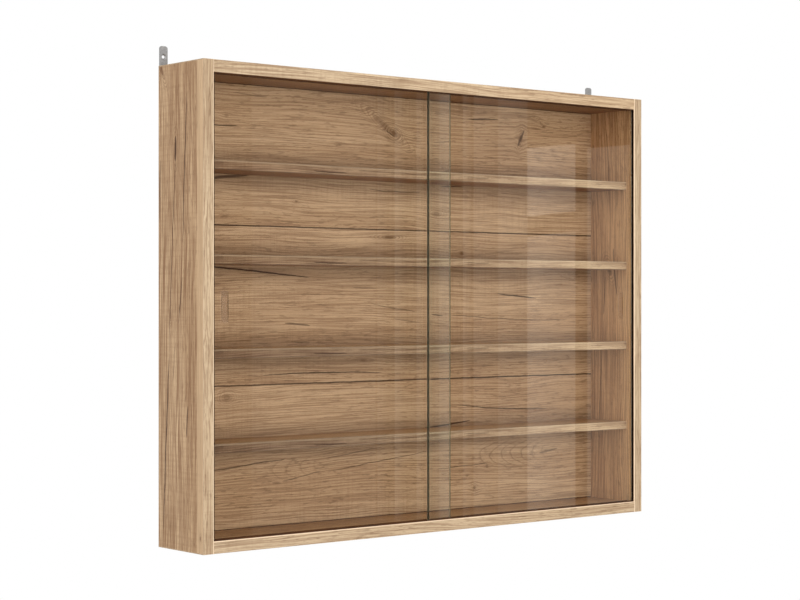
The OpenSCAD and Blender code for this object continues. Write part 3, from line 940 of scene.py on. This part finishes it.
# Windows of the room that the glass mirrors. Each is given by where its mirror image lies on
# the back panel as seen from the camera, in millimetres: from and to along X, from and to in
# height above the cabinet's lower end. The last two numbers are its brightness at its two sides.
WINDOWS = (
    (-259, -45, BELOW_ALL, ABOVE_ALL, 0.13, 0.16),
    (-42, -24, BELOW_ALL, ABOVE_ALL, 0.22, 0.05),
    (-10, 10, BELOW_ALL, ABOVE_ALL, 0.36, 0.04),
    (31, 52, BELOW_ALL, ABOVE_ALL, 0.36, 0.04),
    (52, 58, BELOW_ALL, ABOVE_ALL, 0.28, 0.20),
    (58, 66, BELOW_ALL, ABOVE_ALL, 0.10, 0.10),
    (66, 74, BELOW_ALL, ABOVE_ALL, 0.17, 0.20),
    (74, 95, BELOW_ALL, ABOVE_ALL, 0.38, 0.48),
    (120, 136, BELOW_ALL, ABOVE_ALL, 0.40, 0.08),
    (141, 190, BELOW_ALL, ABOVE_ALL, 0.34, 0.20),
    (190, 250, BELOW_ALL, ABOVE_ALL, 0.46, 0.34),
    (250, 352, 450, 554, 1.12, 0.76),
    (250, 352, BELOW_ALL, 419, 0.98, 0.60),
    (378, 600, BELOW_ALL, 560, 0.52, 0.52),
)
# How much the windows' upper and lower edges rise to the right, as a share of the run
WINDOW_TILT = 0.11
WINDOW_BLUR = 0.0006
ROOM_GLOW = 0.03
# Brightness of the red, green and blue of what the glass mirrors
WINDOW_TINT = (1.0, 0.9, 0.8)


def mirrored_room(w):
    """Brightness of the room in each direction: slopes are X and Z over the way ahead."""
    way_x, way_y, way_z = w.split(w.node("ShaderNodeTexCoord").outputs["Generated"])
    ahead = w.math("MAXIMUM", w.mul(way_y, -1.0), 0.05)
    slope = w.math("DIVIDE", way_x, ahead)
    rise = w.math("DIVIDE", way_z, ahead)
    panel_gap = back_low.y - camera.location.y

    def between(value, start, end):
        rising = w.ramp(value, start - WINDOW_BLUR, start + WINDOW_BLUR)
        return w.mul(rising, w.ramp(value, end - WINDOW_BLUR, end + WINDOW_BLUR, 1.0, 0.0))

    glow = ROOM_GLOW
    for start_x, end_x, low, high, bright, far_bright in WINDOWS:
        start, end = [(mm(value) - camera.location.x) / panel_gap for value in (start_x, end_x)]
        bottom, top = [(up(value) - camera.location.z) / panel_gap for value in (low, high)]
        tilted = w.sub(rise, w.mul(w.sub(slope, start), WINDOW_TILT))
        inside = w.mul(between(slope, start, end), between(tilted, bottom, top))
        glow = w.add(glow, w.mul(inside, w.ramp(slope, start, end, bright, far_bright)))
    return w.mul(glow, w.ramp(way_y, -0.35, -0.6))


def make_world():
    """White behind everything, soft light on surfaces, and the room for the glass to mirror."""
    world = bpy.data.worlds.new("studio")
    world.use_nodes = True
    world.node_tree.nodes.clear()
    w = Graph(world.node_tree)
    glow = mirrored_room(w)
    mirrored = w.node("ShaderNodeBackground")
    w.feed(mirrored.inputs["Color"], w.join(*[w.mul(glow, share) for share in WINDOW_TINT]))
    seen = w.node("ShaderNodeBackground")
    seen.inputs["Color"].default_value = (1, 1, 1, 1)
    lit = w.node("ShaderNodeBackground")
    lit.inputs["Color"].default_value = (1.0, 0.97, 0.93, 1)
    lit.inputs["Strength"].default_value = 0.78
    path = w.node("ShaderNodeLightPath").outputs
    soft = w.node("ShaderNodeMixShader")
    w.feed(soft.inputs[0], path["Is Singular Ray"])
    w.feed(soft.inputs[1], lit.outputs[0])
    w.feed(soft.inputs[2], mirrored.outputs[0])
    pick = w.node("ShaderNodeMixShader")
    w.feed(pick.inputs[0], path["Is Camera Ray"])
    w.feed(pick.inputs[1], soft.outputs[0])
    w.feed(pick.inputs[2], seen.outputs[0])
    w.feed(w.node("ShaderNodeOutputWorld").inputs["Surface"], pick.outputs[0])
    return world


scene.world = make_world()


def softbox(name, place, width, height, power, colour=(1, 1, 1)):
    """A rectangular lamp aimed at the cabinet."""
    light = bpy.data.lights.new(name, "AREA")
    light.shape = "RECTANGLE"
    light.size = width
    light.size_y = height
    light.energy = power
    light.color = colour
    lamp = bpy.data.objects.new(name, light)
    lamp.location = place
    lamp.rotation_euler = (cab_mid - Vector(place)).to_track_quat("-Z", "Y").to_euler()
    scene.collection.objects.link(lamp)
    return lamp


# The glass does not mirror the key light, which would hide the shelves from the front
key = softbox("key", (-0.35, -3.1, -0.05), 3.0, 2.4, 71)
key.visible_glossy = False
key.visible_transmission = False
softbox("fill_left", (-2.4, -0.75, 1.1), 1.4, 1.8, 17.5, (1.0, 0.98, 0.95))
softbox("top", (0.2, -0.8, 2.6), 2.0, 1.5, 6)


def floor_material():
    """Pale painted floor: cloudy tone with fine pits."""
    made, g, shader, _ = new_material("floor_pale")
    x, y, z = g.split(object_point(g))
    cloud = g.noise(g.mul(x, 0.8), g.mul(y, 0.8), z, detail=4)
    fine = g.noise(g.mul(x, 160), g.mul(y, 160), z, detail=3)
    g.feed(shader.inputs["Base Color"], g.mix(cloud, (0.82, 0.82, 0.81, 1), (0.88, 0.88, 0.87, 1)))
    g.feed(shader.inputs["Roughness"], g.ramp(fine, 0.3, 0.7, 0.7, 0.85))
    bump(g, shader, fine, 0.1 * MM)
    return made


FLOOR_DROP = 1.1
FLOOR_REACH = 4.0
floor_mesh = bpy.data.meshes.new("floor")
floor_corners = []
for side_x, side_y in ((-1, -1), (1, -1), (1, 1), (-1, 1)):
    floor_corners.append((side_x * FLOOR_REACH, side_y * FLOOR_REACH, cab_low_z - FLOOR_DROP))
floor_mesh.from_pydata(floor_corners, [], [(0, 1, 2, 3)])
floor = bpy.data.objects.new("floor", floor_mesh)
floor_mesh.materials.append(floor_material())
scene.collection.objects.link(floor)
# The glass does not mirror the floor either, whose far edge would cross the doors as a pale block
floor.visible_glossy = False
floor.visible_transmission = False
